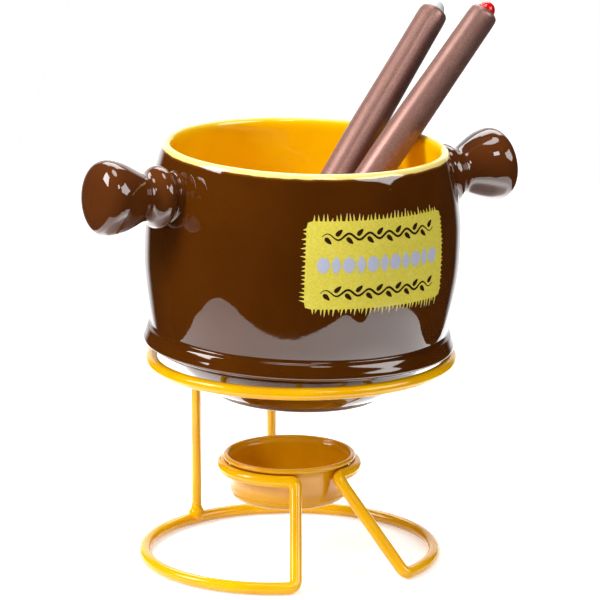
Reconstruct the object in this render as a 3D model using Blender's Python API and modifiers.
"""Fondue pot set: a glazed ceramic pot with two knob handles on a painted wire
stand with a hanging burner cup, and two fondue forks.

Frame: metres, +Z up. The origin lies on the table, under the middle of the
whole set. The front faces -Y, left is -X, and the knobs point along X.
Sizes below are in mm, with places taken from the centre of the top ring in
plan and from the table in height, unless noted.
"""

import math

import bmesh
import bpy
from mathutils import Matrix, Vector

MM = 0.001
GAP = 0.3  # clearance kept between neighbouring pieces
SET_MIDDLE = (0.99, -0.19)  # middle of the set's box in plan

# ---- stand: angles are from the front (-Y), positive towards +X -------------
WIRE_R = 2.05  # to the flats of the wire's section
WIRE_SIDES = 8
WIRE_CORNER_R = WIRE_R / math.cos(math.pi / WIRE_SIDES)
BEND_R = 1.7  # where the wire turns from a ring into a strut
BEND_STEPS = 3

TOP_RING_R = 50.0
TOP_RING_Z = 69.5
TOP_RING_STEPS = 60

BASE_CENTRE = (-4.0, 1.0)  # the base ring sits a little left of the top ring
BASE_R = 49.0
BASE_STEPS = 44
BASE_RIGHT_END_DEG = 23.9
BASE_RIGHT_BEND_DEG = 70.0  # from here to its end the ring is bent inwards
BASE_RIGHT_PULL_IN = 1.4
BASE_RIGHT_BEND_POWER = 2.0
BASE_LEFT_END_DEG = 360.0 - 27.1
BASE_LEFT_BEND_DEG = 235.0
BASE_LEFT_PULL_IN = 5.7
BASE_LEFT_BEND_POWER = 1.7

BURNER_RING_R = 22.4
BURNER_RING_Z = 32.2
BURNER_RING_STEPS = 30
BURNER_LEFT_END_DEG = -24.5
BURNER_RIGHT_END_DEG = 15.0

LEG_R = 1.65
LEG_BOTTOM_Z = WIRE_R + 1.3
LEG_TOP_Z = TOP_RING_Z - 1.0
LEG_STEPS = 16
LEGS = {"left": (-13.9, 48.3), "right": (15.2, 46.9)}

BEAD_INNER_R = LEG_R + GAP
BEAD_STEPS = 20
# (distance out from the bead's bore, distance along the leg away from the ring)
BEAD_OUTSIDE = [(0.45, 2.6), (0.75, 1.7), (1.15, 0.8), (1.25, -0.6)]

COPE_R = WIRE_CORNER_R + GAP
COPE_SIDES = 20
COPE_STEPS = 96

# ---- burner cup ------------------------------------------------------------
CUP_R = 20.0
CUP_WALL = 0.5
CUP_INNER_R = CUP_R - CUP_WALL
CUP_FLOOR_Z = 20.8
CUP_INNER_FLOOR_Z = CUP_FLOOR_Z + CUP_WALL
CUP_RIM_Z = 35.35
CUP_RIM_R = 21.35
CUP_ROLL_R = 0.9
CUP_STEPS = 48

# ---- pot: heights (H) are above the plane POT_Z -----------------------------
POT_Z = 70.2
POT_AT = (0.7, -0.4)  # the pot sits a little off the centre of the ring
POT_SEAT_H = 50.0  # centre of the round underside
POT_SEAT_R = 68.15  # radius of the round underside
POT_TILT_DEG = 2.0  # the pot sits slightly crooked on its round underside
POT_TILT_AXIS = (0.5, 0.866, 0.0)
POT_STEPS = 56

# Tables of (radius, height), in order from the inner floor over the lip and
# down the outside.
POT_INNER = [
    (0.0, -8.4), (20.0, -8.4), (30.0, -7.9), (36.5, -4.4), (41.6, 2.4),
    (44.9, 11.5), (46.8, 22.0), (47.7, 33.0), (47.6, 44.0), (46.6, 55.0),
    (45.3, 64.5), (44.7, 69.3),
]
POT_LIP = [(45.2, 70.8), (46.3, 71.3), (47.4, 70.6)]
POT_OUTER = [
    (48.2, 68.6), (49.2, 65.0), (50.5, 60.0), (51.7, 53.5), (52.6, 46.0),
    (52.8, 38.0), (52.6, 30.5), (52.0, 24.5), (51.0, 17.5), (50.0, 11.8),
    (49.75, 9.9),
]
POT_BEAD = [(50.4, 9.2), (51.6, 8.1), (52.1, 6.6), (51.95, 5.2), (51.3, 4.3)]
UNDERSIDE_TOP_R = 49.9
UNDERSIDE_STEPS = 6
FOOT_R = 28.6
FOOT_H = -13.0
FOOT_RECESS_R = 24.0
FOOT_RECESS_H = FOOT_H + 0.8
WALL_CUT_TOP_H = 76.0  # top of the knobs' cutter, clear above the lip

# ---- knob handles ----------------------------------------------------------
KNOB_H = 59.6
KNOB_STEPS = 24
# (radius, distance from the pot's axis)
KNOB = [
    (0.0, 79.8), (3.6, 79.7), (7.2, 79.2), (10.2, 78.2), (11.9, 76.7),
    (12.2, 74.9), (11.7, 72.9), (10.6, 70.0), (9.3, 66.6), (8.2, 63.4),
    (7.8, 60.6), (8.6, 58.6), (9.8, 57.2), (10.3, 55.2), (9.9, 53.2),
    (8.9, 51.4), (8.4, 47.0), (0.0, 47.0),
]

# ---- forks: heights along a fork's axis are from the tip end of its handle --
FORK_RIM_Z = 141.8  # plane in which each fork's place is given
FORK_LENGTH = 151.0
HANDLE_LENGTH = 82.0  # without the tip insert
HANDLE_R_TIP = 5.0
HANDLE_R_MAX = 5.7
HANDLE_R_END = 5.0
HANDLE_STEPS = 24
TIP_R = 3.25
TIP_H = 3.4
TIP_PLUG_R = 2.2
TIP_PLUG_DEPTH = 5.0
TIP_STEPS = 20
SHAFT_R = 1.5
SHAFT_TOP_H = -HANDLE_LENGTH + 14.0
SHAFT_STEPS = 16
HEAD_LENGTH = 27.0
HEAD_H = -FORK_LENGTH + HEAD_LENGTH
HEAD_HALF_W = 7.4 / 2
HEAD_THICK = 1.8
PRONG_W = 1.7

# at: where the axis crosses the plane FORK_RIM_Z; direction: from there to the
# handle's tip end; out: the distance between the two.
FORKS = {
    "red": {
        "at": (40.24, 1.35), "direction": (0.6496, 0.001, 0.7603), "out": 50.0,
        "tip_color": (0.75, 0.01, 0.015),
    },
    "white": {
        "at": (35.68, 16.62), "direction": (0.6507, 0.1548, 0.7434), "out": 47.7,
        "tip_color": (0.78, 0.84, 0.80),
    },
}

# ---- colours, linear RGB ---------------------------------------------------
BROWN = (0.085, 0.025, 0.006)
YELLOW = (0.90, 0.47, 0.015)
CUP_YELLOW = (0.78, 0.42, 0.03)
MAUVE = (0.21, 0.125, 0.10)
STEEL = (0.62, 0.62, 0.60)


# ---- scene helpers ---------------------------------------------------------
def fresh_scene():
    """Empty the scene; return new collections for the pieces and the helpers."""
    for obj in list(bpy.data.objects):
        bpy.data.objects.remove(obj, do_unlink=True)
    parts = bpy.data.collections.new("fondue_pot_set")
    cutters = bpy.data.collections.new("fondue_pot_set_cutters")
    bpy.context.scene.collection.children.link(parts)
    bpy.context.scene.collection.children.link(cutters)
    return parts, cutters


def new_object(name, data, collection):
    obj = bpy.data.objects.new(name, data)
    collection.objects.link(obj)
    return obj


def position(obj, location, rotation, parent):
    obj.parent = parent
    obj.location = Vector(location) * MM
    if rotation is not None:
        obj.rotation_mode = "QUATERNION"
        obj.rotation_quaternion = rotation


def empty(name, location, rotation=None, parent=None, size=0.02):
    obj = new_object(name, None, PARTS)
    obj.empty_display_size = size
    position(obj, location, rotation, parent)
    return obj


PARTS, CUTTERS = fresh_scene()
# Every piece hangs on this, which shifts the set's middle onto the origin.
SET = empty("fondue_set_origin", (-SET_MIDDLE[0], -SET_MIDDLE[1], 0.0), size=0.05)


def place(obj, mat, location=(0, 0, 0), rotation=None, parent=SET):
    position(obj, location, rotation, parent)
    obj.data.materials.append(mat)


def place_helper(obj, location=(0, 0, 0), parent=SET):
    """Place an object that only serves in other pieces' booleans."""
    position(obj, location, None, parent)
    obj.hide_render = True
    obj.display_type = "WIRE"


# ---- materials -------------------------------------------------------------
def material(name, color, roughness, metallic=0.0):
    mat = bpy.data.materials.new(name)
    mat.use_nodes = True
    bsdf = next(n for n in mat.node_tree.nodes if n.type == "BSDF_PRINCIPLED")
    bsdf.inputs["Base Color"].default_value = (*color, 1.0)
    bsdf.inputs["Roughness"].default_value = roughness
    bsdf.inputs["Metallic"].default_value = metallic
    return mat


def yellow_paint(part, color=YELLOW, roughness=0.25):
    return material("yellow_paint_" + part, color, roughness=roughness)


def brown_glaze(part):
    return material("brown_glaze_" + part, BROWN, roughness=0.06)


def mauve_handle(fork_name):
    return material("mauve_handle_" + fork_name, MAUVE, roughness=0.5)


def glossy_tip(fork_name, color):
    return material("tip_" + fork_name, color, roughness=0.15)


def steel(fork_name):
    return material("steel_" + fork_name, STEEL, roughness=0.3, metallic=1.0)


# ---- shape helpers ---------------------------------------------------------
def turned(name, profile, steps, collection=PARTS, closed=False):
    """A Screw of (radius, height) points, listed so that the outer side runs down."""
    verts = [(radius * MM, 0.0, height * MM) for radius, height in profile]
    edges = [(i, i + 1) for i in range(len(verts) - 1)]
    if closed:
        edges.append((len(verts) - 1, 0))
    mesh = bpy.data.meshes.new(name)
    mesh.from_pydata(verts, edges, [])
    obj = new_object(name, mesh, collection)
    screw = obj.modifiers.new("Screw", "SCREW")
    screw.axis = "Z"
    screw.angle = math.tau
    screw.steps = steps
    screw.render_steps = steps
    screw.use_merge_vertices = True
    screw.merge_threshold = 0.00001
    screw.use_smooth_shade = True
    return obj


def flat_curve_spline(curve, points):
    """Add a closed straight-sided spline through points in mm; return it."""
    spline = curve.splines.new("POLY")
    spline.points.add(len(points) - 1)
    for point, (x, y, z) in zip(spline.points, points):
        point.co = (x * MM, y * MM, z * MM, 1.0)
    spline.use_cyclic_u = True
    return spline


def wire_loop(name, points):
    """A closed loop of the stand's wire along points."""
    curve = bpy.data.curves.new(name, "CURVE")
    curve.dimensions = "3D"
    curve.twist_mode = "Z_UP"
    curve.bevel_mode = "ROUND"
    curve.bevel_resolution = WIRE_SIDES // 2 - 2
    curve.bevel_depth = WIRE_CORNER_R * MM
    spline = flat_curve_spline(curve, points)
    for point in spline.points:
        point.tilt = math.pi / WIRE_SIDES  # a flat, not a corner, faces down
    spline.use_smooth = True
    return new_object(name, curve, PARTS)


def boolean(obj, name, operation, other):
    mod = obj.modifiers.new(name, "BOOLEAN")
    mod.operation = operation
    mod.solver = "EXACT"
    mod.object = other


def cut(obj, cutter):
    boolean(obj, "Cut_" + cutter.name, "DIFFERENCE", cutter)


def on_circle(centre, radius, degrees, z):
    """A point at an angle from the front (-Y), positive towards +X."""
    angle = math.radians(degrees)
    x = centre[0] + radius * math.sin(angle)
    y = centre[1] - radius * math.cos(angle)
    return Vector((x, y, z))


def fillet(before, corner, after):
    """Points of the arc that rounds a corner of the wire."""
    to_before = (before - corner).normalized()
    to_after = (after - corner).normalized()
    angle = to_before.angle(to_after)
    reach = BEND_R / math.tan(angle / 2)
    centre = corner + (to_before + to_after).normalized() * (BEND_R / math.sin(angle / 2))
    start = corner + to_before * reach - centre
    end = corner + to_after * reach - centre
    sweep = start.angle(end)
    arc = []
    for k in range(BEND_STEPS + 1):
        t = k / BEND_STEPS
        start_share = math.sin((1 - t) * sweep) / math.sin(sweep)
        end_share = math.sin(t * sweep) / math.sin(sweep)
        arc.append(centre + start * start_share + end * end_share)
    return arc


# ---- stand -----------------------------------------------------------------
def base_radius(degrees):
    """The open ring is round at the back and bends in towards its two ends."""
    if degrees < 180.0:
        bend_span = BASE_RIGHT_BEND_DEG - BASE_RIGHT_END_DEG
        t = max(0.0, (BASE_RIGHT_BEND_DEG - degrees) / bend_span)
        return BASE_R - BASE_RIGHT_PULL_IN * t ** BASE_RIGHT_BEND_POWER
    bend_span = BASE_LEFT_END_DEG - BASE_LEFT_BEND_DEG
    t = max(0.0, (degrees - BASE_LEFT_BEND_DEG) / bend_span)
    return BASE_R - BASE_LEFT_PULL_IN * t ** BASE_LEFT_BEND_POWER


def base_wire_path():
    """Round the base ring, up the left strut, round the burner ring and back down."""
    # from the right end round the back to the left end
    base = []
    sweep = BASE_LEFT_END_DEG - BASE_RIGHT_END_DEG
    for k in range(BASE_STEPS + 1):
        degrees = BASE_RIGHT_END_DEG + sweep * k / BASE_STEPS
        base.append(on_circle(BASE_CENTRE, base_radius(degrees), degrees, WIRE_R))
    # from the left end round the back to the right end
    burner = []
    sweep = 360.0 - (BURNER_RIGHT_END_DEG - BURNER_LEFT_END_DEG)
    for k in range(BURNER_RING_STEPS + 1):
        degrees = BURNER_LEFT_END_DEG - sweep * k / BURNER_RING_STEPS
        burner.append(on_circle(BASE_CENTRE, BURNER_RING_R, degrees, BURNER_RING_Z))
    return (
        fillet(burner[-1], base[0], base[1]) + base[1:-1]
        + fillet(base[-2], base[-1], burner[0])
        + fillet(base[-1], burner[0], burner[1]) + burner[1:-1]
        + fillet(burner[-2], burner[-1], base[0])
    )


def top_ring_path():
    return [
        on_circle((0, 0), TOP_RING_R, 360.0 * k / TOP_RING_STEPS, TOP_RING_Z)
        for k in range(TOP_RING_STEPS)
    ]


def ring_cope(name, centre, z, ring_r):
    """A closed ring that copes the pieces welded on a ring of the stand."""
    section = []
    for k in range(COPE_SIDES):
        angle = math.pi / 2 - math.tau * k / COPE_SIDES
        section.append((ring_r + COPE_R * math.cos(angle), COPE_R * math.sin(angle)))
    cope = turned(name, section, COPE_STEPS, CUTTERS, closed=True)
    place_helper(cope, (centre[0], centre[1], z))
    return cope


def weld_bead(end, side, at, ring_face_z, away, cope):
    """A bead round a leg's end; away is +1 where the leg rises from the ring, else -1."""
    outside = [(BEAD_INNER_R + out, ring_face_z + away * along) for out, along in BEAD_OUTSIDE]
    if away < 0:
        outside.reverse()
    bore = [(BEAD_INNER_R, outside[-1][1]), (BEAD_INNER_R, outside[0][1])]
    bead = turned(f"weld_bead_{end}_{side}", outside + bore, BEAD_STEPS, closed=True)
    place(bead, yellow_paint(f"bead_{end}_{side}", roughness=0.3), at)
    cut(bead, cope)


def rear_leg(side, base_cope, top_cope):
    at = (*LEGS[side], 0.0)
    rod = [(0.0, LEG_TOP_Z), (LEG_R, LEG_TOP_Z), (LEG_R, LEG_BOTTOM_Z), (0.0, LEG_BOTTOM_Z)]
    leg = turned("rear_leg_" + side, rod, LEG_STEPS)
    place(leg, yellow_paint("leg_" + side), at)
    cut(leg, base_cope)
    cut(leg, top_cope)
    weld_bead("foot", side, at, 2.0 * WIRE_R, 1, base_cope)
    weld_bead("ring", side, at, TOP_RING_Z - WIRE_R, -1, top_cope)


def stand():
    place(wire_loop("base_wire", base_wire_path()), yellow_paint("base_wire"))
    place(wire_loop("top_ring", top_ring_path()), yellow_paint("top_ring"))
    base_cope = ring_cope("base_ring_cope", BASE_CENTRE, WIRE_R, BASE_R)
    top_cope = ring_cope("top_ring_cope", (0, 0), TOP_RING_Z, TOP_RING_R)
    for side in LEGS:
        rear_leg(side, base_cope, top_cope)


# ---- burner cup, hanging by its rolled rim ---------------------------------
def burner_cup():
    inside = [
        (0.0, CUP_INNER_FLOOR_Z), (15.6, CUP_INNER_FLOOR_Z),
        (18.1, CUP_INNER_FLOOR_Z + 0.9), (CUP_INNER_R, CUP_INNER_FLOOR_Z + 3.0),
        (CUP_INNER_R + 0.1, CUP_RIM_Z - 2.0), (CUP_INNER_R + 0.4, CUP_RIM_Z - 0.8),
    ]
    rolled_rim = []
    for degrees in range(150, -131, -40):
        angle = math.radians(degrees)
        rolled_rim.append(
            (CUP_RIM_R + CUP_ROLL_R * math.cos(angle), CUP_RIM_Z + CUP_ROLL_R * math.sin(angle))
        )
    outside = [
        (CUP_R + 0.15, CUP_RIM_Z - 2.0), (CUP_R, CUP_FLOOR_Z + 3.4),
        (18.8, CUP_FLOOR_Z + 1.0), (16.2, CUP_FLOOR_Z), (0.0, CUP_FLOOR_Z),
    ]
    cup = turned("burner_cup", inside + rolled_rim + outside, CUP_STEPS)
    place(cup, yellow_paint("cup", CUP_YELLOW, roughness=0.35), (*BASE_CENTRE, 0.0))


# ---- pot and knobs, all on one tilted seat ---------------------------------
def from_seat(profile):
    """The profile with its heights taken from the seat instead of POT_Z."""
    return [(radius, height - POT_SEAT_H) for radius, height in profile]


def underside():
    """Points down the round underside, from the bead to the foot."""
    start = math.asin(UNDERSIDE_TOP_R / POT_SEAT_R)
    end = math.asin(FOOT_R / POT_SEAT_R)
    points = []
    for k in range(UNDERSIDE_STEPS + 1):
        angle = start + (end - start) * k / UNDERSIDE_STEPS
        points.append((POT_SEAT_R * math.sin(angle), POT_SEAT_H - POT_SEAT_R * math.cos(angle)))
    return points


def pot_body(seat):
    foot = [
        (FOOT_R - 0.9, FOOT_H), (FOOT_RECESS_R + 0.6, FOOT_H),
        (FOOT_RECESS_R, FOOT_RECESS_H), (0.0, FOOT_RECESS_H),
    ]
    profile = POT_INNER + POT_LIP + POT_OUTER + POT_BEAD + underside() + foot
    body = turned("pot_body", from_seat(profile), POT_STEPS)
    place(body, brown_glaze("pot"), parent=seat)


def pot_wall_cut(seat):
    """The pot's outside, grown by the gap, to shape the knobs' inner ends."""
    lip_r, lip_h = POT_LIP[-1]
    profile = [(0.0, WALL_CUT_TOP_H), (lip_r + GAP, WALL_CUT_TOP_H), (lip_r + GAP, lip_h)]
    profile += [(radius + GAP, height) for radius, height in POT_OUTER]
    profile += [(0.0, POT_OUTER[-1][1])]
    cutter = turned("pot_wall_cut", from_seat(profile), POT_STEPS, CUTTERS)
    place_helper(cutter, parent=seat)
    return cutter


def knob_handle(side, sign, seat, cutter):
    knob = turned("knob_handle_" + side, KNOB, KNOB_STEPS)
    turn = Matrix.Rotation(sign * math.pi / 2, 3, "Y").to_quaternion()
    place(knob, brown_glaze("knob_" + side), (0, 0, KNOB_H - POT_SEAT_H), turn, seat)
    cut(knob, cutter)


def pot():
    tilt = Matrix.Rotation(math.radians(POT_TILT_DEG), 3, Vector(POT_TILT_AXIS).normalized())
    seat = empty("pot_seat", (*POT_AT, POT_Z + POT_SEAT_H), tilt.to_quaternion(), SET)
    pot_body(seat)
    cutter = pot_wall_cut(seat)
    knob_handle("left", -1.0, seat, cutter)
    knob_handle("right", 1.0, seat, cutter)


# ---- forks -----------------------------------------------------------------
def head_outline():
    """Outline of the flat two-pronged head, along -Y from its shoulder."""
    prong_inner = HEAD_HALF_W - PRONG_W
    right = [
        (0.9, 2.0), (1.1, -0.5), (HEAD_HALF_W - 1.2, -3.4), (HEAD_HALF_W - 0.3, -4.9),
        (HEAD_HALF_W, -7.0), (HEAD_HALF_W, -HEAD_LENGTH + 3.4),
        (HEAD_HALF_W - 0.75, -HEAD_LENGTH + 0.3), (HEAD_HALF_W - PRONG_W * 0.55, -HEAD_LENGTH),
        (prong_inner, -HEAD_LENGTH + 2.6), (prong_inner, -8.4), (prong_inner - 0.75, -6.9),
        (0.7, -6.1),
    ]
    return right + [(-x, y) for x, y in reversed(right)]


def flat_head(name):
    """The head's outline filled, thickened and made into a closed mesh."""
    curve = bpy.data.curves.new(name, "CURVE")
    curve.dimensions = "2D"
    curve.fill_mode = "BOTH"
    curve.extrude = HEAD_THICK / 2 * MM
    flat_curve_spline(curve, [(x, y, 0.0) for x, y in head_outline()])
    source = new_object(name + "_outline", curve, CUTTERS)
    bpy.context.view_layer.update()
    graph = bpy.context.evaluated_depsgraph_get()
    mesh = bpy.data.meshes.new_from_object(source.evaluated_get(graph))
    bpy.data.objects.remove(source, do_unlink=True)
    bm = bmesh.new()
    bm.from_mesh(mesh)
    bmesh.ops.remove_doubles(bm, verts=bm.verts, dist=0.000001)
    # stand the outline up: its -Y becomes -Z
    bmesh.ops.rotate(bm, verts=bm.verts, matrix=Matrix.Rotation(math.pi / 2, 3, "X"))
    bmesh.ops.recalc_face_normals(bm, faces=bm.faces)
    bm.to_mesh(mesh)
    bm.free()
    return new_object(name, mesh, CUTTERS)


def fork_handle(name, out, axis):
    """The handle, widest at the distance out, with a socket at each end."""
    socket_r = TIP_PLUG_R + GAP
    socket_floor = -TIP_PLUG_DEPTH - 1.0
    bore_r = SHAFT_R + GAP
    bore_top = SHAFT_TOP_H + 0.5
    profile = [
        (0.0, socket_floor), (socket_r, socket_floor), (socket_r, -0.4),
        (TIP_R + 0.2, 0.0), (HANDLE_R_TIP - 1.2, -0.15), (HANDLE_R_TIP - 0.35, -0.75),
        (HANDLE_R_TIP, -2.0), (HANDLE_R_TIP + 0.3, -22.0), (HANDLE_R_MAX, -out),
        (HANDLE_R_END + 0.1, -HANDLE_LENGTH + 2.2), (HANDLE_R_END - 0.9, -HANDLE_LENGTH + 0.5),
        (HANDLE_R_END - 2.2, -HANDLE_LENGTH),
        (bore_r, -HANDLE_LENGTH), (bore_r, bore_top), (0.0, bore_top),
    ]
    handle = turned(f"fork_{name}_handle", profile, HANDLE_STEPS)
    place(handle, mauve_handle(name), parent=axis)


def fork_tip(name, color, axis):
    """The domed insert with a plug that goes into the handle's socket."""
    profile = [
        (0.0, TIP_H), (1.1, TIP_H - 0.2), (2.1, TIP_H - 1.0), (2.8, TIP_H - 2.0),
        (TIP_R, GAP + 0.35), (TIP_R - 0.1, GAP), (TIP_PLUG_R, GAP - 0.3),
        (TIP_PLUG_R, -TIP_PLUG_DEPTH), (0.0, -TIP_PLUG_DEPTH),
    ]
    tip = turned(f"fork_{name}_tip", profile, TIP_STEPS)
    place(tip, glossy_tip(name, color), parent=axis)


def fork_tines(name, axis):
    """The steel shaft joined to its flat head."""
    shaft_end = HEAD_H - 1.0
    shaft = [(0.0, SHAFT_TOP_H), (SHAFT_R, SHAFT_TOP_H), (SHAFT_R, shaft_end), (0.0, shaft_end)]
    tines = turned(f"fork_{name}_tines", shaft, SHAFT_STEPS)
    place(tines, steel(name), parent=axis)
    head = flat_head(f"fork_{name}_head")
    place_helper(head, (0, 0, HEAD_H), axis)
    boolean(tines, "Join_head", "UNION", head)


def fork(name, at, direction, out, tip_color):
    """One fork, on an empty at the handle's tip end whose +Z is the fork's axis."""
    along = Vector(direction).normalized()
    tip_end = Vector((*at, FORK_RIM_Z)) + along * out
    axis = empty(f"fork_{name}_axis", tip_end, along.to_track_quat("Z", "Y"), SET)
    fork_handle(name, out, axis)
    fork_tip(name, tip_color, axis)
    fork_tines(name, axis)


stand()
burner_cup()
pot()
for fork_name, fork_spec in FORKS.items():
    fork(fork_name, **fork_spec)

bpy.context.view_layer.update()
